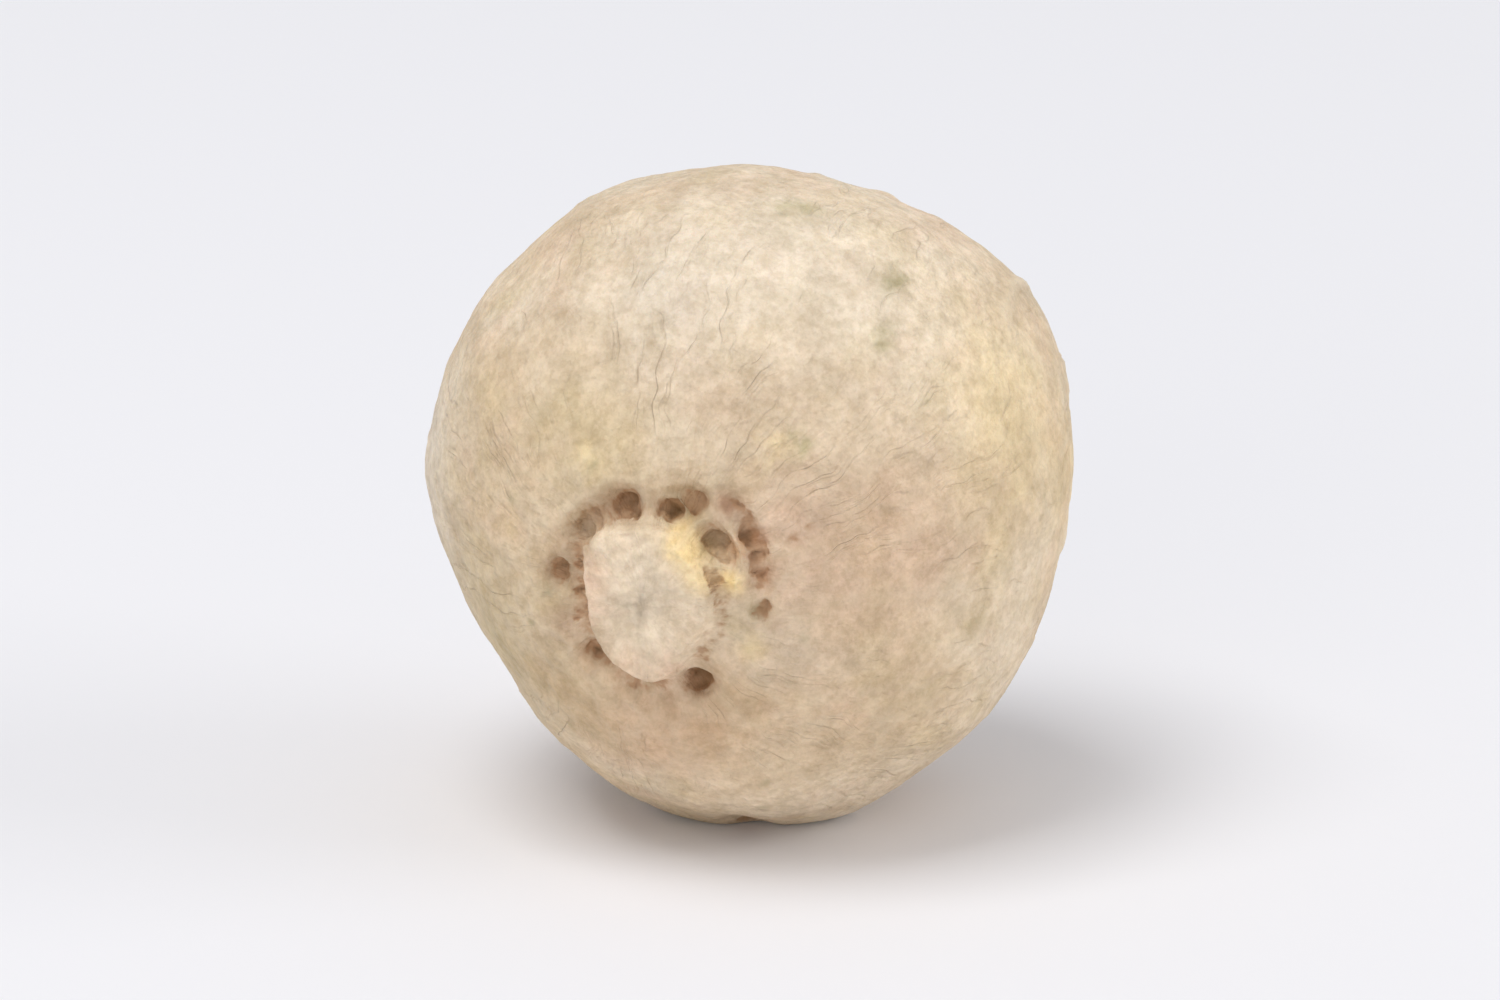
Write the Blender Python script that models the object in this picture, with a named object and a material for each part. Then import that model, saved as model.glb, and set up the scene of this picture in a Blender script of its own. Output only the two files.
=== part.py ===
"""A white peppercorn: the dried, skinned berry of the pepper vine, lying on its side.

It is one solid piece. The stem scar, a worn button in a ring of small pits, faces the front (-Y),
and the dimpled tip faces the back. Faint ribs run from one to the other, as on a tiny pumpkin.
Metres, +Z up. The origin is on the flat spot that the berry lies on, under the middle of its box.
"""

import math

import bmesh
import bpy
from mathutils import Matrix, Vector

MM = 0.001

# The berry's body
ACROSS = 4.66 * MM  # diameter round its waist, before the swells and dents
POLE_LENGTH = 4.50 * MM  # from the stem end to the tip
SEAT_DEPTH = 2.29 * MM  # from the berry's centre down to the flat spot
AROUND = 88  # faces round the waist
RINGS = 60  # faces from the stem end to the tip
SCAR_REACH = 1.15 * MM  # the skin round the stem end that gets finer faces
SCAR_SHARE = 0.42  # of the rings

# How it lies: the stem end looks a little left of the front and down
STEM_HEADING = math.radians(-16.9)
STEM_CLIMB = math.radians(-3.8)

# Broad swells and dents of the body: heading from the front, climb, reach (degrees) and rise
SWELLS = (
    (-78, -26, 31, -0.23 * MM),  # pressed flat by a neighbour, low on the left
    (101, 31, 28, 0.215 * MM),  # full shoulder, high on the right
    (-40, 78, 32, 0.06 * MM),  # full top
    (0, -66, 30, 0.07 * MM),  # full underside, in front of the flat spot
    (72, -47, 26, 0.08 * MM),  # low swell on the right
    (97, 24, 15, 0.030 * MM),  # slight swells on the right, one above the other
    (92, -20, 18, 0.030 * MM),
    (-101, 33, 24, -0.04 * MM),  # flatter high on the left
    (-34, 30, 18, -0.045 * MM),  # shallow dent above the stem scar
    (34, -10, 17, -0.03 * MM),  # shallow dent beside it
    (-172, 12, 36, -0.07 * MM),  # flatter round the tip
    (138, -24, 24, -0.09 * MM),  # pressed flat behind, on the right
    (-132, 18, 26, 0.06 * MM),  # swell behind, on the left
)
RIPPLE_HEIGHT = 0.010 * MM  # slow unevenness all over
RIPPLE_LENGTH = 1.6 * MM

# Stem scar: a worn, slightly hollow button that stands a little proud of the skin, in a narrow
# moat that is deepest high on the left and dies out low on the right
BUTTON_WIDTH = 0.98 * MM
BUTTON_TALL = 1.22 * MM
BUTTON_HEIGHT = 0.092 * MM
BUTTON_SLOPE = 0.055 * MM
BUTTON_LOBES = 0.05  # how uneven its edge is, as a share of its radius
HOLLOW_ANGLE = -125  # where the hollow in its top lies
HOLLOW_DISTANCE = 0.15 * MM
HOLLOW_RADIUS = 0.26 * MM
HOLLOW_DEPTH = 0.045 * MM
MOAT_DEPTH = 0.085 * MM
MOAT_WIDTH = 0.075 * MM
MOAT_SIDE = math.radians(160)  # where it is deepest
MOAT_LOSS = 0.75  # the share of its depth that is gone on the other side
RIM_HEIGHT = 0.025 * MM
RIM_WIDTH = 0.22 * MM

# Pits where the veins entered the berry: angle round the button (degrees), distance, radius,
# how many times longer they are along its rim, and depth
PITS = (
    (104, 0.72 * MM, 0.060 * MM, 2.0, 0.11 * MM),
    (75, 0.70 * MM, 0.060 * MM, 1.4, 0.11 * MM),
    (65, 0.81 * MM, 0.070 * MM, 1.6, 0.14 * MM),
    (41, 0.69 * MM, 0.050 * MM, 2.6, 0.11 * MM),
    (-3, 0.84 * MM, 0.050 * MM, 1.3, 0.08 * MM),
    (-62, 0.75 * MM, 0.070 * MM, 1.5, 0.14 * MM),
    (-128, 0.68 * MM, 0.058 * MM, 1.5, 0.10 * MM),
    (172, 0.70 * MM, 0.062 * MM, 2.1, 0.11 * MM),
    (137, 0.71 * MM, 0.055 * MM, 2.2, 0.05 * MM),
)
# The torn edge between the pits on the right: a slit that swings out from the button
SLIT_FROM = 2
SLIT_TO = 58
SLIT_START = 0.83 * MM
SLIT_END = 0.98 * MM
SLIT_WIDTH = 0.065 * MM
SLIT_DEPTH = 0.11 * MM
# Crumbs of stem left standing by the button, in the same way, with their height
CRUMBS = (
    (52, 0.52 * MM, 0.13 * MM, 1.0, 0.055 * MM),
    (32, 0.81 * MM, 0.07 * MM, 1.8, 0.080 * MM),
    (16, 0.67 * MM, 0.09 * MM, 1.0, 0.110 * MM),
)

# Ribs from the stem scar to the tip: angle round the button (degrees) and height
RIBS = (
    (6, 0.026 * MM),
    (32, 0.018 * MM),
    (58, 0.026 * MM),
    (88, 0.018 * MM),
    (117, 0.028 * MM),
    (143, 0.016 * MM),
    (171, 0.026 * MM),
    (203, 0.018 * MM),
    (231, 0.028 * MM),
    (258, 0.016 * MM),
    (292, 0.030 * MM),
    (320, 0.020 * MM),
    (343, 0.018 * MM),
)
RIB_WIDTH = 0.20 * MM
RIB_START = 1.00 * MM  # along the skin from the middle of the button
RIB_END = 0.45 * MM  # along the skin from the tip
RIB_FADE = 0.50 * MM
RIB_SWAY = math.radians(3.5)

# Creases in the skin: angle round the button (degrees), start, end, half width and depth
CREASES = (
    (24, 0.98 * MM, 1.50 * MM, 0.07 * MM, 0.035 * MM),  # from the slit outwards
    (-82, 2.42 * MM, 3.02 * MM, 0.08 * MM, 0.080 * MM),  # the notch under the front
    (150, 2.40 * MM, 3.50 * MM, 0.09 * MM, 0.035 * MM),
    (62, 4.20 * MM, 5.60 * MM, 0.09 * MM, 0.045 * MM),
)

# Tip: an oval dimple with the dry dot of the old stigma in it
TIP_DEPTH = 0.15 * MM
TIP_RADIUS = 0.32 * MM
TIP_OVAL = 1.35
TIP_DOT_HEIGHT = 0.07 * MM
TIP_DOT_RADIUS = 0.11 * MM

SKIN_COLOUR = (0.76, 0.65, 0.49, 1.0)
SKIN_ROUGHNESS = 0.62


def hump(distance, reach):
    """1 in the middle of a rounded hump, fading to nothing past its reach."""
    return math.exp(-((distance / reach) ** 2))


def ease(value, start, end):
    """0 before the start, 1 after the end and smooth between."""
    share = min(1.0, max(0.0, (value - start) / (end - start)))
    return share * share * (3 - 2 * share)


def toward(heading, climb):
    """The direction at that heading from the front (-Y) and climb above the horizon."""
    flat = math.cos(climb)
    return Vector((math.sin(heading) * flat, -math.cos(heading) * flat, math.sin(climb)))


def on_scar(degrees, distance):
    """A place on the flattened-out skin round the stem end, from its angle and distance."""
    angle = math.radians(degrees)
    return Vector((distance * math.cos(angle), distance * math.sin(angle)))


def lying_turn():
    """Turns the upright berry, stem end at +Z, onto its side as it lies."""
    stem = toward(STEM_HEADING, STEM_CLIMB)
    right = Vector((math.cos(STEM_HEADING), math.sin(STEM_HEADING), 0))
    return Matrix((right, stem.cross(right), stem)).transposed()


def swell_rise(direction):
    """Broad swells, dents and the slow ripple, for a direction in the lying berry."""
    rise = 0.0
    for heading, climb, reach, height in SWELLS:
        middle = toward(math.radians(heading), math.radians(climb))
        rise += height * hump(direction.angle(middle), math.radians(reach))
    wave = direction * (math.tau * ACROSS / 2 / RIPPLE_LENGTH)
    ripple = math.sin(wave.x + 1.1) * math.sin(wave.y + 0.4) + math.sin(wave.z + 2.0 + wave.x * 0.6)
    return rise + RIPPLE_HEIGHT * ripple


def button_rise(along, angle):
    """The button with its uneven edge and hollow top, and the moat and rim round it."""
    edge = 1 / math.hypot(2 * math.cos(angle) / BUTTON_WIDTH, 2 * math.sin(angle) / BUTTON_TALL)
    edge *= 1 + BUTTON_LOBES * (math.sin(3 * angle + 0.8) + 0.6 * math.sin(5 * angle + 2.1))
    rise = BUTTON_HEIGHT * (1 - ease(along, edge - BUTTON_SLOPE, edge + BUTTON_SLOPE))
    hollow = on_scar(HOLLOW_ANGLE, HOLLOW_DISTANCE) - on_scar(math.degrees(angle), along)
    rise -= HOLLOW_DEPTH * hump(hollow.length, HOLLOW_RADIUS)
    moat = edge + BUTTON_SLOPE + MOAT_WIDTH / 2
    depth = MOAT_DEPTH * (1 - MOAT_LOSS * (1 - math.cos(angle - MOAT_SIDE)) / 2)
    rise -= depth * hump(along - moat, MOAT_WIDTH)
    return rise + RIM_HEIGHT * hump(along - moat - 1.4 * RIM_WIDTH, RIM_WIDTH)


def oval_step(here, degrees, distance, stretch):
    """How far a place lies from another by the button, with steps along its rim made shorter."""
    step = here - on_scar(degrees, distance)
    outward = on_scar(degrees, 1.0)
    return math.hypot(step.dot(outward), step.cross(outward) / stretch)


def scar_rise(along, angle):
    """Pits, crumbs and slit round the button, at a distance along the skin from the stem end."""
    here = on_scar(math.degrees(angle), along)
    rise = button_rise(along, angle)
    for degrees, distance, radius, stretch, depth in PITS:
        rise -= depth * hump(oval_step(here, degrees, distance, stretch), radius)
    for degrees, distance, radius, stretch, height in CRUMBS:
        rise += height * hump(oval_step(here, degrees, distance, stretch), radius)
    share = (math.degrees(angle) - SLIT_FROM) / (SLIT_TO - SLIT_FROM)
    if 0 < share < 1:
        middle = SLIT_START + (SLIT_END - SLIT_START) * share
        rise -= SLIT_DEPTH * math.sin(math.pi * share) * hump(along - middle, SLIT_WIDTH)
    return rise


def tip_rise(from_tip, angle):
    """The oval dimple at the tip and the dot in it."""
    oval = from_tip * math.hypot(math.cos(angle) / TIP_OVAL, math.sin(angle))
    return TIP_DOT_HEIGHT * hump(from_tip, TIP_DOT_RADIUS) - TIP_DEPTH * hump(oval, TIP_RADIUS)


def side_step(angle, other, girth):
    """Distance round the skin between two angles, where the berry has that girth radius."""
    turn = (angle - other + math.pi) % math.tau - math.pi
    return turn * girth


def rib_rise(polar, along, from_tip, angle, girth):
    """Faint ribs that sway a little on their way and die out before the scar and the tip."""
    fade = ease(along, RIB_START, RIB_START + RIB_FADE) * ease(from_tip, RIB_END, RIB_END + RIB_FADE)
    rise = 0.0
    for number, (rib_angle, height) in enumerate(RIBS):
        sway = RIB_SWAY * math.sin(2.2 * polar + 1.7 * number)
        step = side_step(angle, math.radians(rib_angle) + sway, girth)
        rise += height * hump(step, RIB_WIDTH)
    return rise * fade


def crease_rise(along, angle, girth):
    """Short grooves that run the same way as the ribs."""
    rise = 0.0
    for crease_angle, start, end, width, depth in CREASES:
        middle, half = (start + end) / 2, (end - start) / 2
        step = side_step(angle, math.radians(crease_angle), girth)
        rise -= depth * hump(step, width) * hump(along - middle, half)
    return rise


def ring_polar(share):
    """How far a ring lies from the stem end, as an angle, with the rings closer round the scar."""
    near = SCAR_REACH / (ACROSS / 2)
    if share < SCAR_SHARE:
        return near * share / SCAR_SHARE
    return near + (math.pi - near) * (share - SCAR_SHARE) / (1 - SCAR_SHARE)


def skin_point(point, turn):
    """Moves a point of the unit ball to its place on the lying berry's skin."""
    polar = ring_polar(math.acos(max(-1.0, min(1.0, point.z))) / math.pi)
    angle = math.atan2(point.y, point.x)
    waist = ACROSS / 2
    girth = waist * math.sin(polar)
    core = Vector((girth * math.cos(angle), girth * math.sin(angle), POLE_LENGTH / 2 * math.cos(polar)))
    outward = turn @ core.normalized()
    along, from_tip = waist * polar, waist * (math.pi - polar)
    rise = swell_rise(outward) + scar_rise(along, angle) + tip_rise(from_tip, angle)
    rise += rib_rise(polar, along, from_tip, angle, girth) + crease_rise(along, angle, girth)
    return turn @ core + outward * rise


def cut_flat_spot(body):
    """Slices the underside off level and closes the cut with one flat face."""
    everything = body.verts[:] + body.edges[:] + body.faces[:]
    floor = Vector((0, 0, -SEAT_DEPTH))
    bmesh.ops.bisect_plane(body, geom=everything, plane_co=floor, plane_no=(0, 0, -1), clear_outer=True)
    rim = [edge for edge in body.edges if edge.is_boundary]
    bmesh.ops.contextual_create(body, geom=rim)
    bmesh.ops.recalc_face_normals(body, faces=body.faces[:])


def centre_over_flat_spot(body):
    """Puts the flat spot at height zero and the middle of the berry's box over the origin."""
    xs = [vert.co.x for vert in body.verts]
    ys = [vert.co.y for vert in body.verts]
    middle = Vector(((min(xs) + max(xs)) / 2, (min(ys) + max(ys)) / 2, -SEAT_DEPTH))
    bmesh.ops.translate(body, verts=body.verts[:], vec=-middle)


def skin_material():
    """Matt, cream-coloured dried skin."""
    material = bpy.data.materials.new("cream_skin")
    material.use_nodes = True
    shader = material.node_tree.nodes["Principled BSDF"]
    shader.inputs["Base Color"].default_value = SKIN_COLOUR
    shader.inputs["Roughness"].default_value = SKIN_ROUGHNESS
    shader.inputs["Metallic"].default_value = 0.0
    return material


def make_peppercorn(collection):
    """The whole berry, from a ball whose points are moved out to the skin."""
    turn = lying_turn()
    body = bmesh.new()
    bmesh.ops.create_uvsphere(body, u_segments=AROUND, v_segments=RINGS, radius=1.0)
    for vert in body.verts:
        vert.co = skin_point(vert.co.normalized(), turn)
    cut_flat_spot(body)
    centre_over_flat_spot(body)
    mesh = bpy.data.meshes.new("peppercorn")
    body.to_mesh(mesh)
    body.free()
    mesh.shade_smooth()
    mesh.set_sharp_from_angle(angle=math.radians(60))
    mesh.materials.append(skin_material())
    berry = bpy.data.objects.new("peppercorn", mesh)
    collection.objects.link(berry)
    return berry


for leftover in list(bpy.data.objects):
    bpy.data.objects.remove(leftover)
pepper = bpy.data.collections.new("white_peppercorn")
bpy.context.scene.collection.children.link(pepper)
make_peppercorn(pepper)
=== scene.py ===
# One white peppercorn lying on a pale surface, seen close up from the stem end.
import math

import bmesh
import bpy
from mathutils import Matrix, Vector


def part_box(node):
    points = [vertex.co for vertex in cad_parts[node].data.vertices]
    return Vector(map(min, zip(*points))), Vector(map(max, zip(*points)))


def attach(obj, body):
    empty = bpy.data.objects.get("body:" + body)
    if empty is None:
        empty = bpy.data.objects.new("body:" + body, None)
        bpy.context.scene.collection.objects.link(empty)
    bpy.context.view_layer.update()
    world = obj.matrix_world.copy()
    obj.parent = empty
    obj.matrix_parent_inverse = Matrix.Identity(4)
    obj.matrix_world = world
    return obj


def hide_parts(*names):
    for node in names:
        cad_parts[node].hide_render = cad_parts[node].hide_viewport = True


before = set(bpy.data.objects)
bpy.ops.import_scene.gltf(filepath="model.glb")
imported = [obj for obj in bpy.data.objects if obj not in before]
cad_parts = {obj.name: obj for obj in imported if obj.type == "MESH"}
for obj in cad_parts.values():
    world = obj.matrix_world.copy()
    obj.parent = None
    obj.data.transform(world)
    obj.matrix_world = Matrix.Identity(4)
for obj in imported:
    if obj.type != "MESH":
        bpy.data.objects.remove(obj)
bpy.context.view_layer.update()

# The camera: it looks down at the berry from the stem end, at the angle of the photograph, through
# a long lens so that the ball keeps its shape.
camera_height = math.radians(17)
lens = 200.0
frame_share = 0.66  # of the picture's height that the berry takes up
lift = 0.02  # of its own height that the berry stands above the middle of the picture
picture_shape = 1000 / 1500  # height to width
berry_low, berry_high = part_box("peppercorn")
berry_middle = (berry_low + berry_high) / 2
berry_tall = (berry_high - berry_low).z
camera_data = bpy.data.cameras.new("camera")
camera_data.lens = lens
camera_data.clip_start = 0.001
camera_data.clip_end = 2.0
half_view = camera_data.sensor_width / 2 / lens * picture_shape
camera_distance = berry_tall / frame_share / 2 / half_view
camera = bpy.data.objects.new("camera", camera_data)
bpy.context.scene.collection.objects.link(camera)
backwards = Vector((0, -math.cos(camera_height), math.sin(camera_height)))
camera.location = berry_middle - Vector((0, 0, lift * berry_tall)) + backwards * camera_distance
camera.rotation_mode = "QUATERNION"
camera.rotation_quaternion = (-backwards).to_track_quat("-Z", "Y")
bpy.context.scene.camera = camera

# The berry: a ripe pepper berry, soaked, rubbed out of its red flesh and dried in the sun into one
# hard ball of seed in a thin cream skin. Ribs and fine raised veins run over it from the stem scar
# in front, a worn button with open pits round its edge, to the tip behind.
MM = 0.001
berry_centre = Vector((-0.0905, 0.0735, 2.290)) * MM  # the middle of the line from scar to tip
ball_radius = 2.33  # of the skin round that point, in mm
stem_heading = math.radians(-16.9)
stem_climb = math.radians(-3.8)
vein_sets = ((9, 0.13, 0.84, 1.9), (7, 0.61, 1.10, 7.3))  # count, phase, waviness and seed of each
detail_levels = 2  # how many times each face of the smooth berry is split
relief_sizes = {  # in mm, but for Fibres and Pit Sharpness, which are plain numbers
    "Vein Height": 0.036,
    "Vein Width": 0.060,
    "Net Height": 0.007,
    "Net Size": 0.34,
    "Crumple Height": 0.038,
    "Crumple Size": 0.55,
    "Grain Height": 0.018,
    "Grain Size": 0.14,
    "Pore Depth": 0.016,
    "Pore Spacing": 0.42,
    "Scar Fray": 0.034,
    "Tear": 0.20,
    "Fibres": 2.6,
    "Crack Depth": 0.016,
    "Pit Sharpness": 0.6,
    "Pit Depth": 0.026,
}


def toward(heading, climb):
    """The direction at that heading from the front (-Y) and climb above the horizon."""
    flat = math.cos(climb)
    return Vector((math.sin(heading) * flat, -math.cos(heading) * flat, math.sin(climb)))


stem_way = toward(stem_heading, stem_climb)
right_way = Vector((math.cos(stem_heading), math.sin(stem_heading), 0))
stem_turn = Matrix((right_way, stem_way.cross(right_way), stem_way)).transposed()


def put(tree, kind, settings=None, inputs=None):
    """Adds a node. Its inputs take numbers, or the sockets that feed them."""
    made = tree.nodes.new(kind)
    for name, value in (settings or {}).items():
        setattr(made, name, value)
    for name, value in (inputs or {}).items():
        if isinstance(value, bpy.types.NodeSocket):
            tree.links.new(value, made.inputs[name])
        else:
            made.inputs[name].default_value = value
    return made


def calc(tree, operation, *values):
    """One sum on numbers, such as ADD or MULTIPLY."""
    return put(tree, "ShaderNodeMath", {"operation": operation}, dict(enumerate(values))).outputs[0]


def vector_calc(tree, operation, first, second=None, output=0, **named):
    """One sum on vectors."""
    inputs = {0: first, **named}
    if second is not None:
        inputs[1] = second
    return put(tree, "ShaderNodeVectorMath", {"operation": operation}, inputs).outputs[output]


def axis(tree, vector, number):
    """One of a vector's three numbers."""
    return put(tree, "ShaderNodeSeparateXYZ", inputs={0: vector}).outputs[number]


def ease(tree, value, start, end):
    """0 at the start, 1 at the end and smooth between."""
    limits = {"Value": value, "From Min": start, "From Max": end}
    settings = {"interpolation_type": "SMOOTHSTEP"}
    return put(tree, "ShaderNodeMapRange", settings, limits).outputs["Result"]


def bell(tree, distance, reach):
    """1 where the distance is nothing, fading out past the reach."""
    share = calc(tree, "DIVIDE", distance, reach)
    return calc(tree, "EXPONENT", calc(tree, "MULTIPLY", calc(tree, "MULTIPLY", share, share), -1.0))


def noise(tree, place, size, seed=0.0, detail=2.0, roughness=0.5):
    """Soft random values from 0 to 1, in lumps of that size."""
    inputs = {"Vector": place, "W": seed, "Scale": calc(tree, "DIVIDE", 1.0, size)}
    inputs.update({"Detail": detail, "Roughness": roughness})
    return put(tree, "ShaderNodeTexNoise", {"noise_dimensions": "4D"}, inputs).outputs[0]


def pressed(tree, place, size, seed, detail=2.0):
    """Such noise, lowered by about the most that it reaches, so that it only presses the skin in."""
    highest = 0.75
    return calc(tree, "SUBTRACT", noise(tree, place, size, seed, detail), highest)


def drift(tree, place, size, detail):
    """Soft random shifts, up to about a half each way, in lumps of that size."""
    inputs = {"Vector": place, "Scale": 1 / size, "Detail": detail, "Roughness": 0.6}
    shift = put(tree, "ShaderNodeTexNoise", inputs=inputs).outputs[1]
    return vector_calc(tree, "SUBTRACT", shift, (0.5, 0.5, 0.5))


def cells(tree, place, size, feature="F1"):
    """A random cell pattern with cells of that size."""
    inputs = {"Vector": place, "Scale": calc(tree, "DIVIDE", 1.0, size)}
    return put(tree, "ShaderNodeTexVoronoi", {"feature": feature}, inputs).outputs


def dots(tree, place, spacing, draw, start, end):
    """Round dots that far apart. Each draws a random number, and shows where it is past the end."""
    dot_reach = 0.13  # of the spacing
    found = cells(tree, place, spacing)
    picked = ease(tree, axis(tree, found["Color"], draw), start, end)
    return calc(tree, "MULTIPLY", bell(tree, found["Distance"], dot_reach), picked)


def pile_up(tree, layers):
    """The height of all the layers together, from each one's share and its full height."""
    rise = 0.0
    for share, height in layers:
        rise = calc(tree, "MULTIPLY_ADD", share, height, rise)
    return rise


def berry_places(tree, position, centre, turn):
    """Places in mm on the berry's own axes: X right, Y up and Z out of the stem scar."""
    turned = put(
        tree,
        "ShaderNodeVectorRotate",
        {"rotation_type": "EULER_XYZ", "invert": True},
        {"Vector": vector_calc(tree, "SUBTRACT", position, centre), "Rotation": turn},
    ).outputs[0]
    return vector_calc(tree, "SCALE", turned, Scale=1 / MM)


def girth_of(tree, place):
    """How far a place lies from the line that runs from scar to tip."""
    right = axis(tree, place, 0)
    up = axis(tree, place, 1)
    return calc(tree, "SQRT", calc(tree, "MULTIPLY_ADD", right, right, calc(tree, "MULTIPLY", up, up)))


def round_line(tree, place, radius):
    """The point at the same angle as a place, on a ring round the middle of that line."""
    flat = vector_calc(tree, "NORMALIZE", vector_calc(tree, "MULTIPLY", place, (1, 1, 0)))
    return vector_calc(tree, "SCALE", flat, Scale=radius)


def note(tree, mesh, name, value):
    """Keeps a value on each point of the mesh, under that name."""
    return put(
        tree,
        "GeometryNodeStoreNamedAttribute",
        {"data_type": "FLOAT", "domain": "POINT"},
        {"Geometry": mesh, "Name": name, "Value": value},
    ).outputs[0]


def torn_hollows(tree, mesh, position, normal, place, given):
    """How far each point lies under its smoothed surroundings, in mm. It is noted on the mesh and
    read a little way off, to either side, so that the hollows have torn and fibrous edges."""
    smoothing = 30  # rounds
    tear_size = 1 / 9  # mm
    blurred = put(
        tree,
        "GeometryNodeBlurAttribute",
        {"data_type": "FLOAT_VECTOR"},
        {"Value": position, "Iterations": smoothing},
    ).outputs[0]
    sunk = vector_calc(tree, "SUBTRACT", blurred, position)
    depth = calc(tree, "DIVIDE", vector_calc(tree, "DOT_PRODUCT", sunk, normal, output=1), MM)
    noted = note(tree, mesh, "hollow", depth)
    read_back = put(
        tree, "GeometryNodeInputNamedAttribute", {"data_type": "FLOAT"}, {"Name": "hollow"}
    ).outputs[0]
    farthest = calc(tree, "MULTIPLY", given["Tear"], MM)
    shift = vector_calc(tree, "SCALE", drift(tree, place, tear_size, detail=4.0), Scale=farthest)
    hollow = put(
        tree,
        "GeometryNodeSampleNearestSurface",
        {"data_type": "FLOAT"},
        {"Mesh": noted, "Value": read_back, "Sample Position": vector_calc(tree, "ADD", position, shift)},
    ).outputs[0]
    fibrous = noise(tree, place, size=0.05, seed=6.0, detail=3.0, roughness=0.65)
    fibrous = calc(tree, "SUBTRACT", fibrous, 0.5)
    strength = calc(tree, "MULTIPLY_ADD", fibrous, given["Fibres"], 1.0)
    return noted, calc(tree, "MULTIPLY", hollow, strength)


def moat_cracks(tree, place, girth, hollow):
    """Cracks that run round the scar along its moat, from pit to pit."""
    ring_radius = 0.28  # less than the moat's own, so that a crack is drawn out along it
    outwards = put(tree, "ShaderNodeCombineXYZ", inputs={2: girth}).outputs[0]
    around = vector_calc(tree, "ADD", round_line(tree, place, ring_radius), outwards)
    crack = noise(tree, around, size=0.055, seed=8.0, detail=4.0, roughness=0.6)
    in_moat = ease(tree, hollow, 0.002, 0.012)
    return calc(tree, "MULTIPLY", ease(tree, crack, 0.46, 0.60), in_moat)


def vein_lines(tree, place, girth, width):
    """Thin raised lines from scar to tip that wander, fade and come back, clearer behind."""
    angle = calc(tree, "ARCTAN2", axis(tree, place, 1), axis(tree, place, 0))
    veins = 0.0
    for count, phase, waviness, seed in vein_sets:
        wander = calc(tree, "MULTIPLY", noise(tree, place, size=1.5, seed=seed), waviness)
        turns = calc(tree, "MULTIPLY", angle, count / math.tau)
        step = calc(tree, "FRACT", calc(tree, "ADD", calc(tree, "ADD", turns, wander), phase + count))
        gap = calc(tree, "MULTIPLY", calc(tree, "SUBTRACT", step, 0.5), math.tau / count)
        line = bell(tree, calc(tree, "MULTIPLY", gap, girth), width)
        seen = ease(tree, noise(tree, place, size=0.9, seed=seed + 3), 0.42, 0.60)
        veins = calc(tree, "MAXIMUM", veins, calc(tree, "MULTIPLY", line, seen))
    off_ends = ease(tree, girth, 0.8, 1.3)
    behind = ease(tree, axis(tree, place, 2), 0.5, -1.3)
    faint = 0.20  # what is left of them in front
    clear = calc(tree, "MULTIPLY_ADD", behind, 1 - faint, faint)
    return calc(tree, "MULTIPLY", veins, calc(tree, "MULTIPLY", off_ends, clear))


def skin_net(tree, place, size):
    """The faint raised borders between patches of skin."""
    bend = 0.5  # the most that the borders are bent aside, in mm
    border_width = 0.12  # of a patch
    inputs = {"Vector": place, "Scale": 1.6, "Detail": 2.0}
    aside = put(tree, "ShaderNodeTexNoise", inputs=inputs).outputs[1]
    bent = vector_calc(tree, "ADD", place, vector_calc(tree, "SCALE", aside, Scale=bend))
    border = cells(tree, bent, size, "DISTANCE_TO_EDGE")["Distance"]
    seen = ease(tree, noise(tree, place, size=1.1, seed=5.0), 0.40, 0.62)
    return calc(tree, "MULTIPLY", bell(tree, border, border_width), seen)


def scar_fray(tree, place, girth):
    """The scar's own roughness, at the stem end alone."""
    near = calc(tree, "SUBTRACT", 1.0, ease(tree, girth, 0.75, 1.15))
    near = calc(tree, "MULTIPLY", near, calc(tree, "GREATER_THAN", axis(tree, place, 2), 0.0))
    return calc(tree, "MULTIPLY", pressed(tree, place, size=0.11, seed=2.0, detail=3.0), near)


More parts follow.
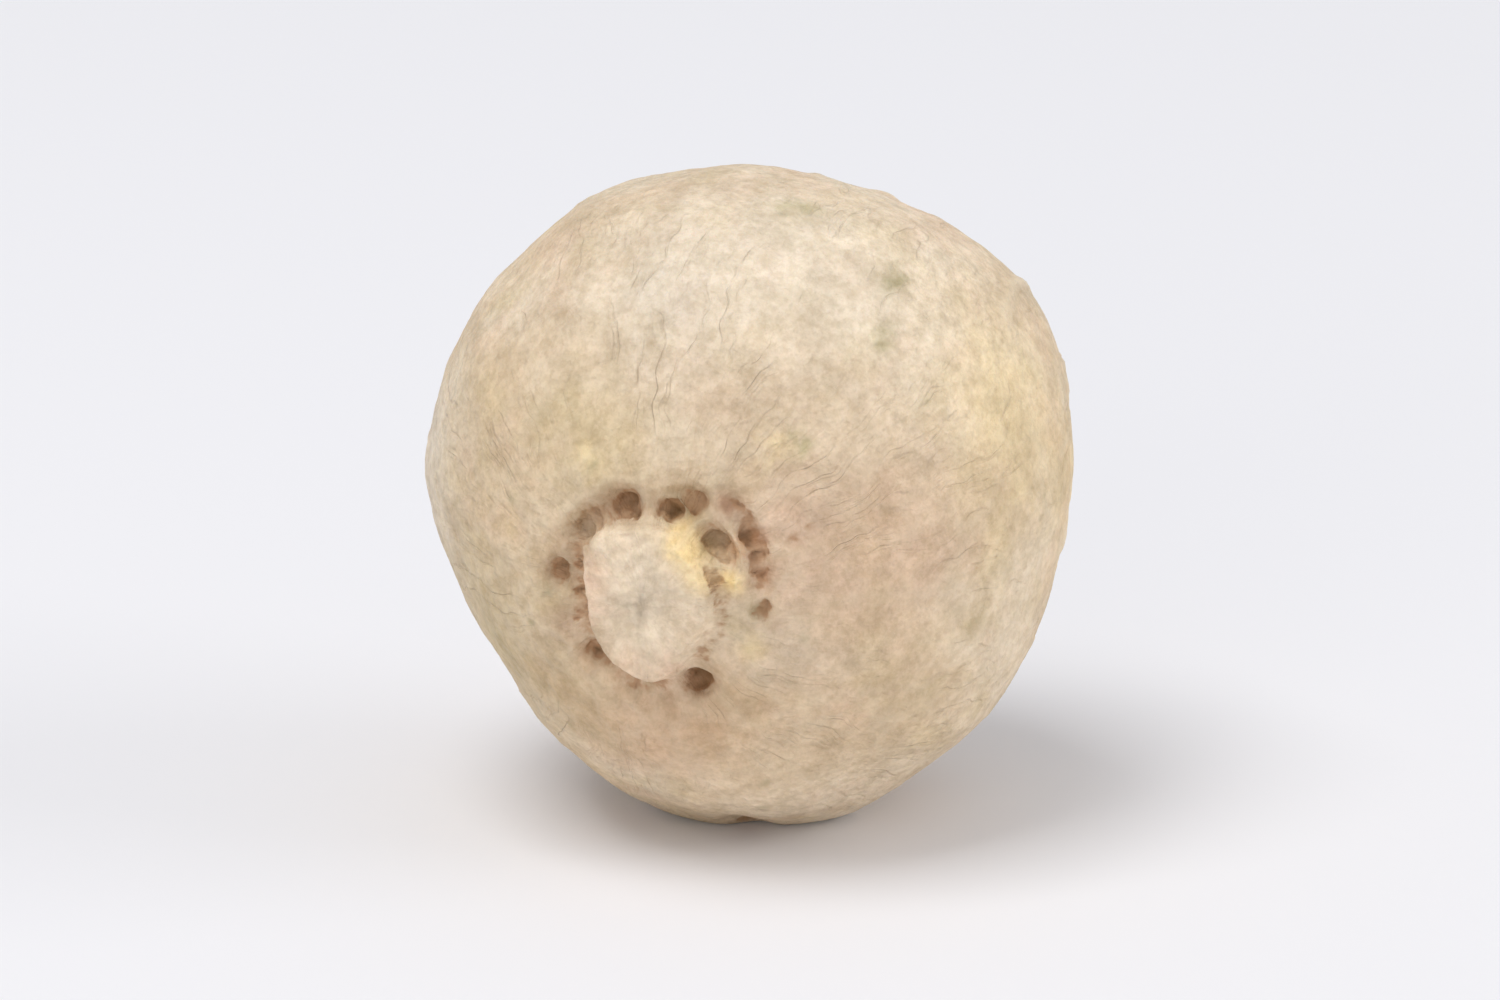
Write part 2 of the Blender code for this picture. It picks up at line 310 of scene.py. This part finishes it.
def relief_tree():
    """Fine relief laid on a smooth berry: veins, net, crumples, grain, pores and a frayed scar."""
    tree = bpy.data.node_groups.new("berry_relief", "GeometryNodeTree")
    face = tree.interface
    face.new_socket("Geometry", in_out="INPUT", socket_type="NodeSocketGeometry")
    face.new_socket("Detail Levels", in_out="INPUT", socket_type="NodeSocketInt")
    face.new_socket("Centre", in_out="INPUT", socket_type="NodeSocketVector")
    face.new_socket("Stem Turn", in_out="INPUT", socket_type="NodeSocketVector")
    for name in relief_sizes:
        face.new_socket(name, in_out="INPUT", socket_type="NodeSocketFloat")
    face.new_socket("Skin", in_out="INPUT", socket_type="NodeSocketMaterial")
    face.new_socket("Geometry", in_out="OUTPUT", socket_type="NodeSocketGeometry")
    given = put(tree, "NodeGroupInput").outputs
    split = {"Mesh": given["Geometry"], "Level": given["Detail Levels"]}
    smooth = put(tree, "GeometryNodeSubdivisionSurface", inputs=split).outputs[0]
    position = put(tree, "GeometryNodeInputPosition").outputs[0]
    normal = put(tree, "GeometryNodeInputNormal").outputs[0]
    place = berry_places(tree, position, given["Centre"], given["Stem Turn"])
    girth = girth_of(tree, place)

    # The hollows and their cracks, deepened to open pits where they are deep enough, and the rest
    noted, hollow = torn_hollows(tree, smooth, position, normal, place, given)
    cracks = moat_cracks(tree, place, girth, hollow)
    hollow = calc(tree, "MULTIPLY_ADD", cracks, given["Crack Depth"], hollow)
    pit = ease(tree, hollow, 0.014, 0.040)
    veins = vein_lines(tree, place, girth, given["Vein Width"])
    net = skin_net(tree, place, given["Net Size"])
    pores = dots(tree, place, given["Pore Spacing"], draw=0, start=0.62, end=0.70)

    # Nearly all of it lies under the smooth skin, and none on the spot that the berry rests on
    layers = (
        (pressed(tree, place, given["Crumple Size"], seed=1.0, detail=3.0), given["Crumple Height"]),
        (pressed(tree, place, given["Grain Size"], seed=4.0), given["Grain Height"]),
        (calc(tree, "SUBTRACT", veins, 0.5), given["Vein Height"]),
        (calc(tree, "SUBTRACT", net, 1.0), given["Net Height"]),
        (calc(tree, "MULTIPLY", pores, -1.0), given["Pore Depth"]),
        (scar_fray(tree, place, girth), given["Scar Fray"]),
        (calc(tree, "MINIMUM", calc(tree, "MULTIPLY", hollow, -1.0), 0.0), given["Pit Sharpness"]),
        (calc(tree, "MULTIPLY", pit, -1.0), given["Pit Depth"]),
    )
    rise = pile_up(tree, layers)
    off_floor = ease(tree, axis(tree, position, 2), 0.01 * MM, 0.12 * MM)
    rise = calc(tree, "MULTIPLY", calc(tree, "MULTIPLY", rise, off_floor), MM)

    marked = noted
    for name, value in (("hollow", hollow), ("veins", veins), ("net", net), ("pores", pores)):
        marked = note(tree, marked, name, value)
    shift = {"Geometry": marked, "Offset": vector_calc(tree, "SCALE", normal, Scale=rise)}
    moved = put(tree, "GeometryNodeSetPosition", inputs=shift).outputs[0]
    shaded = put(tree, "GeometryNodeSetShadeSmooth", inputs={"Geometry": moved}).outputs[0]
    whole = put(tree, "GeometryNodeRealizeInstances", inputs={"Geometry": shaded}).outputs[0]
    covering = {"Geometry": whole, "Material": given["Skin"]}
    covered = put(tree, "GeometryNodeSetMaterial", inputs=covering).outputs[0]
    put(tree, "NodeGroupOutput", inputs={"Geometry": covered})
    return tree


def on_skin(angle, along):
    """A place on the ball round the stem scar, in mm, from its angle round the button and its
    distance along the skin."""
    angle = math.radians(angle)
    polar = along / ball_radius
    flat = math.sin(polar)
    return Vector((flat * math.cos(angle), flat * math.sin(angle), math.cos(polar))) * ball_radius


def on_side(heading, climb):
    """A place on the ball, in mm on the berry's axes, from its heading and climb as it lies."""
    return stem_turn.inverted() @ toward(math.radians(heading), math.radians(climb)) * ball_radius


def tone(red, green, blue):
    """A colour from its three numbers on a paint card, 0 to 255."""
    linear = []
    for number in (red, green, blue):
        share = number / 255
        linear.append(share / 12.92 if share < 0.04045 else ((share + 0.055) / 1.055) ** 2.4)
    return (*linear, 1.0)


# Tones of the clouds that lie all over the skin, of its fine marks and the painted shade along them, and
# of the brown stain and painted shade in the hollows and pits
beige = tone(216, 193, 162)
pale_beige = tone(232, 215, 191)
rosy_tinge = tone(226, 194, 168)
yellow_tinge = tone(219, 199, 152)
wrinkle_shade_tan = tone(176, 148, 110)
vein_foot_shade = tone(186, 158, 120)
vein_crest = tone(244, 228, 202)
net_cream = tone(238, 222, 194)
pore_tan = tone(168, 142, 104)
speck_green = tone(160, 150, 112)
stain_and_shade_brown = tone(172, 126, 86)
pit_shade_brown = tone(104, 74, 30)

# Tones of the patches of skin, and of the parts of the scar
top_highlight_ivory = tone(246, 236, 220)
cream = tone(242, 220, 190)
grey_cream = tone(226, 216, 204)
yellow_cream = tone(250, 228, 178)
straw = tone(236, 211, 156)
sand = tone(215, 192, 162)
dun = tone(201, 182, 142)
fawn = tone(201, 175, 142)
tan = tone(189, 159, 117)
olive = tone(187, 168, 123)
grey_green = tone(174, 165, 124)
moss = tone(152, 138, 94)
rosy = tone(218, 184, 160)
pale_rose = tone(230, 198, 174)
rosy_tan = tone(202, 162, 124)
mauve_shade = tone(188, 156, 135)
moat_brown_and_shade = tone(165, 130, 100)
dark_moat_brown_and_shade = tone(146, 109, 80)
red_brown = tone(161, 111, 79)
olive_brown = tone(142, 108, 52)
tip_brown = tone(112, 76, 60)
button_cream = tone(255, 237, 212)
rim_rose_and_highlight = tone(247, 214, 188)
amber = tone(255, 226, 167)

# What mottling, fibres and grit multiply the tone by, where they are lowest and highest; for the grit
# that is painted shade in its hollows and painted highlight on its tops
mottle_shades = ((0.9195, 0.910305, 0.891915, 1), (1.0575, 1.0575, 1.0575, 1))
fibre_shades = ((0.93, 0.92, 0.90, 1), (1.05, 1.05, 1.05, 1))
grit_shade_and_highlight = ((0.90, 0.88, 0.84, 1), (1.05, 1.05, 1.06, 1))

# Patches of skin in another tone: place, reach in mm, strength and tone
skin_patches = (
    (on_side(10, 58), 1.20, 0.65, top_highlight_ivory),  # painted highlight on the top
    (on_side(-62, -20), 0.95, 0.60, olive),  # olive tint and painted shade, low on the left
    (on_side(-80, 20), 0.60, 0.40, dun),
    (on_side(-30, 24), 0.48, 0.75, dun),  # painted shade of the dent above the scar
    (on_side(-38, 42), 0.50, 0.35, sand),
    (on_side(-38, -26), 0.50, 0.55, tan),  # tan, low left of the scar
    (on_side(-8, -27), 0.62, 0.65, rosy_tan),  # rosy tan, under the scar
    (on_side(5, -43), 0.45, 0.60, cream),
    (on_side(8, 28), 0.80, 0.55, fawn),  # painted shade where it faces the front
    (on_side(22, 4), 0.70, 0.50, rosy),  # rosy, beside it
    (on_side(8, 14), 0.35, 0.35, pale_rose),
    (on_side(62, 24), 0.60, 0.55, yellow_cream),  # yellowish, on the right
    (on_side(-86, 10), 0.70, 0.68, grey_cream),  # greyer down the left
    (on_side(84, 2), 0.60, 0.35, straw),
    (on_side(50, -30), 0.60, 0.35, sand),
    (on_side(48, -12), 0.13, 0.50, olive),
    (on_side(41, -24), 0.17, 0.35, olive),
    (on_side(22, -36), 0.34, 0.35, fawn),
    (on_side(41, 73), 0.14, 0.75, grey_green),  # grey-green marks, high on the right
    (on_side(49, 52), 0.12, 0.80, grey_green),
    (on_side(37, 43), 0.11, 0.80, grey_green),
    (on_side(12, 26), 0.10, 0.80, grey_green),
    (on_side(-31, 21), 0.10, 0.55, yellow_cream),  # pale yellow dots
    (on_side(7, 24), 0.11, 0.50, yellow_cream),
    (on_side(-20, 52), 0.40, 0.35, grey_cream),
    (on_side(150, -10), 1.00, 0.45, dun),  # behind
    (on_side(-140, 30), 0.90, 0.40, cream),
    (on_side(-150, -30), 0.55, 0.45, fawn),
    (on_side(120, 30), 0.50, 0.40, straw),
)
# Patches of the scar's own parts, in the same way
scar_patches = (
    (on_skin(0, 0.0), 0.95, 0.30, fawn),
    (on_skin(-155, 0.72), 0.16, 0.50, mauve_shade),  # brown and mauve in the moat, partly painted shade
    (on_skin(122, 0.74), 0.16, 0.60, moat_brown_and_shade),
    (on_skin(104, 0.73), 0.14, 0.65, dark_moat_brown_and_shade),
    (on_skin(150, 0.70), 0.13, 0.55, moat_brown_and_shade),
    (on_skin(173, 0.71), 0.15, 0.65, dark_moat_brown_and_shade),
    (on_skin(-130, 0.68), 0.13, 0.65, dark_moat_brown_and_shade),
    (on_skin(-105, 0.70), 0.11, 0.50, moat_brown_and_shade),
    (on_skin(-82, 0.73), 0.11, 0.50, moat_brown_and_shade),
    (on_skin(-61, 0.77), 0.16, 0.65, dark_moat_brown_and_shade),
    (on_skin(86, 0.70), 0.10, 0.50, moat_brown_and_shade),
    (on_skin(68, 0.78), 0.16, 0.75, olive_brown),
    (on_skin(50, 0.95), 0.12, 0.70, red_brown),
    (on_skin(32, 0.95), 0.11, 0.75, red_brown),
    (on_skin(14, 0.89), 0.10, 0.70, red_brown),
    (on_skin(-3, 0.85), 0.08, 0.60, moss),
    (on_skin(40, 0.68), 0.10, 0.75, olive_brown),
    (on_skin(22, 1.25), 0.17, 0.40, mauve_shade),  # painted shade along the faint crease outwards
    (on_skin(36, 1.16), 0.16, 0.30, rosy),
    (on_skin(90, 0.20), 0.36, 0.90, button_cream),  # the button
    (on_skin(-85, 0.22), 0.36, 0.90, button_cream),
    (on_skin(-130, 0.24), 0.18, 0.40, sand),  # painted shade in its hollow
    (on_skin(155, 0.42), 0.14, 0.75, rim_rose_and_highlight),  # its rosy rim, partly painted highlight
    # painted highlight on the rim, upper left
    (on_skin(118, 0.50), 0.12, 0.75, button_cream),
    (on_skin(-165, 0.42), 0.12, 0.55, rim_rose_and_highlight),
    (on_skin(-100, 0.50), 0.12, 0.50, rim_rose_and_highlight),
    (on_skin(-68, 0.52), 0.13, 0.65, rim_rose_and_highlight),
    (on_skin(-25, 0.42), 0.15, 0.55, cream),
    (on_skin(50, 0.53), 0.14, 0.92, amber),  # the yellow flank
    (on_skin(62, 0.60), 0.10, 0.85, amber),
    (on_skin(28, 0.49), 0.11, 0.70, amber),
    (on_skin(16, 0.67), 0.10, 0.95, amber),  # the amber crumb
    (on_skin(32, 0.81), 0.09, 0.80, rosy_tan),  # the tan crumb
    (on_skin(-24, 0.86), 0.10, 0.60, straw),
    (on_skin(-14, 0.68), 0.12, 0.45, dun),
    (on_side(163, 4), 0.32, 0.85, tip_brown),  # the dark dimple at the tip
)
# Pits with less brown stain and painted shade than the others: place and reach in mm
paler_pits = ((on_skin(38, 0.69), 0.19), (on_skin(137, 0.71), 0.15))


def mix_colour(tree, share, below, above, way="MIX"):
    """Lays one colour over another, by that share."""
    inputs = {0: share, 6: below, 7: above}  # 6 and 7 are the node's two colours, and 2 its result
    return put(tree, "ShaderNodeMix", {"data_type": "RGBA", "blend_type": way}, inputs).outputs[2]


def lay(tree, colour, mask, strength, paint):
    """Lays a tone over the colour where the mask shows, at that strength."""
    return mix_colour(tree, calc(tree, "MULTIPLY", mask, strength), colour, paint)


def shade(tree, colour, level, shades):
    """Multiplies the colour by the first shade where the level is 0, and the second where it is 1."""
    return mix_colour(tree, 1.0, colour, mix_colour(tree, level, *shades), "MULTIPLY")


def spot_group():
    """Shader group: a soft round spot at a place on the skin."""
    group = bpy.data.node_groups.new("skin_spot", "ShaderNodeTree")
    face = group.interface
    face.new_socket("Skin", in_out="INPUT", socket_type="NodeSocketVector")
    face.new_socket("Place", in_out="INPUT", socket_type="NodeSocketVector")
    face.new_socket("Reach", in_out="INPUT", socket_type="NodeSocketFloat")
    face.new_socket("Mask", in_out="OUTPUT", socket_type="NodeSocketFloat")
    given = put(group, "NodeGroupInput").outputs
    distance = vector_calc(group, "DISTANCE", given["Skin"], given["Place"], output=1)
    put(group, "NodeGroupOutput", inputs={"Mask": bell(group, distance, given["Reach"])})
    return group


skin_spot = spot_group()


def spot(tree, skin, middle, reach):
    """The mask of one such spot."""
    inputs = {"Skin": skin, "Place": middle, "Reach": reach}
    return put(tree, "ShaderNodeGroup", {"node_tree": skin_spot}, inputs).outputs[0]


def ragged(tree, place, size, amount):
    """The same places, shifted about at random, so that what is drawn there has a torn edge."""
    shift = vector_calc(tree, "SCALE", drift(tree, place, size, detail=3.0), Scale=amount)
    return vector_calc(tree, "ADD", place, shift)


def patched_colour(tree, place, onto_ball):
    """Beige clouds with rosy and yellow tinges, and over them the patches in other tones, some of them
    painted highlight and painted shade.
    """
    clouds = ease(tree, noise(tree, place, size=1.1, seed=11.0, detail=3.0), 0.35, 0.65)
    colour = mix_colour(tree, clouds, beige, pale_beige)
    tinge = ease(tree, noise(tree, place, size=0.55, seed=12.0, detail=3.0), 0.48, 0.68)
    colour = lay(tree, colour, tinge, 0.40, rosy_tinge)
    tinge = ease(tree, noise(tree, place, size=0.48, seed=13.0, detail=3.0), 0.50, 0.70)
    colour = lay(tree, colour, tinge, 0.35, yellow_tinge)
    # Each kind of patch has edges torn in lumps of its own size, by its own amount, in mm
    for patches, size, amount in ((skin_patches, 0.30, 0.55), (scar_patches, 0.12, 0.14)):
        torn = ragged(tree, onto_ball, size, amount)
        for middle, reach, strength, paint in patches:
            colour = lay(tree, colour, spot(tree, torn, middle, reach), strength, paint)
    return colour


def drawn_out(tree, place):
    """Places squeezed along the berry, so that what is drawn there is long from scar to tip."""
    ring_radius = 2.3
    squeeze = 0.3
    wavy = ragged(tree, place, 0.9, 0.5)
    along = vector_calc(tree, "MULTIPLY", wavy, (0, 0, squeeze))
    return vector_calc(tree, "ADD", round_line(tree, wavy, ring_radius), along)


def skin_wrinkles(tree, place, lengthwise):
    """Thin wrinkles that wander along the fibres in places, and keep off the button."""
    thickness = 0.022  # of the range of the noise whose middle they follow
    winding = noise(tree, lengthwise, size=0.26, seed=26.0, detail=3.0)
    off_line = calc(tree, "ABSOLUTE", calc(tree, "SUBTRACT", winding, 0.5))
    in_places = ease(tree, noise(tree, place, size=0.6, seed=27.0), 0.42, 0.58)
    off_button = ease(tree, girth_of(tree, place), 0.7, 1.1)
    seen = calc(tree, "MULTIPLY", in_places, off_button)
    return calc(tree, "MULTIPLY", bell(tree, off_line, thickness), seen)


def skin_material():
    """Matt, cream, mottled dried skin, brown in its pits and hollows with stain and painted shade."""
    material = bpy.data.materials.new("peppercorn_skin")
    material.use_nodes = True
    tree = material.node_tree
    shader = tree.nodes["Principled BSDF"]
    where = put(tree, "ShaderNodeTexCoord").outputs["Object"]
    own_axes = {"Location": berry_centre, "Rotation": stem_turn.to_euler(), "Scale": (MM, MM, MM)}
    place = put(
        tree, "ShaderNodeMapping", {"vector_type": "TEXTURE"}, {"Vector": where, **own_axes}
    ).outputs[0]
    onto_ball = vector_calc(tree, "SCALE", vector_calc(tree, "NORMALIZE", place), Scale=ball_radius)
    hollow, veins, net, pores = (
        put(tree, "ShaderNodeAttribute", {"attribute_name": name}).outputs["Fac"]
        for name in ("hollow", "veins", "net", "pores")
    )
    colour = patched_colour(tree, place, onto_ball)

    # Mottling, large and small, then fibres from scar to tip, grit with painted shade and painted
    # highlight, and wrinkles darkened with painted shade in places
    for size, seed in ((0.40, 20.0), (0.16, 21.0)):
        lumps = noise(tree, place, size, seed, detail=6.0, roughness=0.6)
        colour = shade(tree, colour, ease(tree, lumps, 0.36, 0.64), mottle_shades)
    lengthwise = drawn_out(tree, place)
    fibres = noise(tree, lengthwise, size=0.06, seed=24.0, detail=5.0, roughness=0.6)
    colour = shade(tree, colour, fibres, fibre_shades)
    grit = noise(tree, place, size=0.060, seed=41.0, detail=6.0, roughness=0.68)
    colour = shade(tree, colour, ease(tree, grit, 0.36, 0.62), grit_shade_and_highlight)
    wrinkles = skin_wrinkles(tree, place, lengthwise)
    colour = lay(tree, colour, wrinkles, 0.10, wrinkle_shade_tan)

    # Paler veins and net with painted shade along the veins' feet, and brown in the pores
    shaded_feet = calc(tree, "MULTIPLY", veins, calc(tree, "SUBTRACT", 1.0, veins))
    colour = lay(tree, colour, shaded_feet, 0.95, vein_foot_shade)
    colour = lay(tree, colour, veins, 0.65, vein_crest)
    colour = lay(tree, colour, net, 0.20, net_cream)
    colour = lay(tree, colour, pores, 0.45, pore_tan)

    # Hollows browned by stain and painted shade, with dark brown painted shade at the bottom of the pits,
    # less in the paler ones
    spared = 0.75  # of the stain and painted shade
    stain_and_shade_kept = 1.0
    for middle, reach in paler_pits:
        stain_and_shade_kept = calc(tree, "MULTIPLY_ADD", spot(tree, onto_ball, middle, reach), -spared, stain_and_shade_kept)
    stain_and_shade = calc(tree, "MULTIPLY", ease(tree, hollow, 0.003, 0.018), stain_and_shade_kept)
    colour = lay(tree, colour, stain_and_shade, 0.66, stain_and_shade_brown)
    deep_shade = calc(tree, "MULTIPLY", ease(tree, hollow, 0.018, 0.050), stain_and_shade_kept)
    colour = lay(tree, colour, deep_shade, 0.84, pit_shade_brown)

    # Small grey-green specks, a few to each square millimetre, in no even pattern
    speck_spacing = 0.30
    uneven = ragged(tree, place, 0.5, 0.3)
    specks = dots(tree, uneven, speck_spacing, draw=1, start=0.84, end=0.92)
    colour = lay(tree, colour, specks, 0.50, speck_green)
    tree.links.new(colour, shader.inputs["Base Color"])

    # Matt, a little smoother on the veins
    dull = ease(tree, noise(tree, place, size=0.06, seed=31.0, detail=3.0), 0.3, 0.7)
    rough = calc(tree, "MULTIPLY_ADD", dull, 0.16, 0.52)
    rough = calc(tree, "SUBTRACT", rough, calc(tree, "MULTIPLY", veins, 0.08))
    tree.links.new(rough, shader.inputs["Roughness"])
    shader.inputs["Specular IOR Level"].default_value = 0.32
    shader.inputs["Subsurface Weight"].default_value = 0.10
    shader.inputs["Subsurface Radius"].default_value = (1.0, 0.6, 0.3)
    shader.inputs["Subsurface Scale"].default_value = 0.20 * MM

    # Grain too fine for the mesh, with each part's height in mm
    lumps = noise(tree, place, size=0.085, seed=42.0)
    height = pile_up(tree, ((fibres, 0.012), (lumps, 0.040), (grit, 0.012), (wrinkles, -0.008)))
    raised = {"Strength": 1.0, "Distance": MM, "Height": height}
    tree.links.new(put(tree, "ShaderNodeBump", inputs=raised).outputs[0], shader.inputs["Normal"])
    return material


def smooth_base():
    """A copy of the berry's solid, its loose triangles joined up, ready to be smoothed."""
    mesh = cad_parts["peppercorn"].data.copy()
    body = bmesh.new()
    body.from_mesh(mesh)
    bmesh.ops.remove_doubles(body, verts=body.verts[:], dist=0.0001 * MM)
    most_turn = math.radians(40)
    bmesh.ops.join_triangles(
        body, faces=body.faces[:], angle_face_threshold=most_turn, angle_shape_threshold=most_turn
    )
    body.to_mesh(mesh)
    body.free()
    mesh.materials.clear()
    base = bpy.data.objects.new("peppercorn_skin", mesh)
    bpy.context.scene.collection.objects.link(base)
    return base


berry = smooth_base()
laying = berry.modifiers.new("relief", "NODES")
laying.node_group = relief_tree()
chosen = dict(relief_sizes)
chosen["Detail Levels"] = detail_levels
chosen["Centre"] = berry_centre[:]
chosen["Stem Turn"] = stem_turn.to_euler()[:]
chosen["Skin"] = skin_material()
for socket in laying.node_group.interface.items_tree:
    if socket.in_out == "INPUT" and socket.name in chosen:
        laying[socket.identifier] = chosen[socket.name]
bpy.context.view_layer.update()
graph = bpy.context.evaluated_depsgraph_get()
finished = bpy.data.meshes.new_from_object(berry.evaluated_get(graph), depsgraph=graph)
berry.modifiers.clear()
berry.data = finished
finished.name = "peppercorn_skin"
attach(berry, "root")
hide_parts("peppercorn")

# The table: a plain white sheet that the berry lies on, dull and flat, and far wider than the view.
# It isn't part of the berry.
floor_half = 0.40
floor_white = tone(238, 238, 242)
floor_body = bmesh.new()
bmesh.ops.create_grid(floor_body, x_segments=1, y_segments=1, size=floor_half)
floor_mesh = bpy.data.meshes.new("table")
floor_body.to_mesh(floor_mesh)
floor_body.free()
floor_paint = bpy.data.materials.new("white_sheet")
floor_paint.use_nodes = True
floor_shader = floor_paint.node_tree.nodes["Principled BSDF"]
floor_shader.inputs["Base Color"].default_value = floor_white
floor_shader.inputs["Roughness"].default_value = 0.75
floor_shader.inputs["Specular IOR Level"].default_value = 0.2
floor_mesh.materials.append(floor_paint)
floor = bpy.data.objects.new("table", floor_mesh)
bpy.context.scene.collection.objects.link(floor)

# The light: a broad soft box overhead, a weaker one on the right and a low one in front, all a
# little warm, in a bright white room.
warm_white = (1.0, 0.985, 0.96)
room_white = (0.95, 0.965, 1.0, 1)
room_light = 0.52
soft_boxes = (  # name, place, side and power in watts
    ("soft_box", Vector((-0.050, -0.030, 0.150)), 0.09, 0.130),
    ("side_box", Vector((0.150, -0.020, 0.050)), 0.10, 0.085),
    ("low_box", Vector((-0.060, -0.150, 0.030)), 0.10, 0.055),
)
for name, box_place, side, power in soft_boxes:
    lamp_data = bpy.data.lights.new(name, "AREA")
    lamp_data.shape = "SQUARE"
    lamp_data.size = side
    lamp_data.energy = power
    lamp_data.color = warm_white
    lamp = bpy.data.objects.new(name, lamp_data)
    lamp.location = box_place
    lamp.rotation_mode = "QUATERNION"
    lamp.rotation_quaternion = (berry_middle - box_place).to_track_quat("-Z", "Y")
    lamp.visible_camera = False
    bpy.context.scene.collection.objects.link(lamp)
room = bpy.data.worlds.new("white_room")
room.use_nodes = True
background = room.node_tree.nodes["Background"]
background.inputs["Color"].default_value = room_white
background.inputs["Strength"].default_value = room_light
bpy.context.scene.world = room
bpy.context.scene.view_settings.view_transform = "Standard"
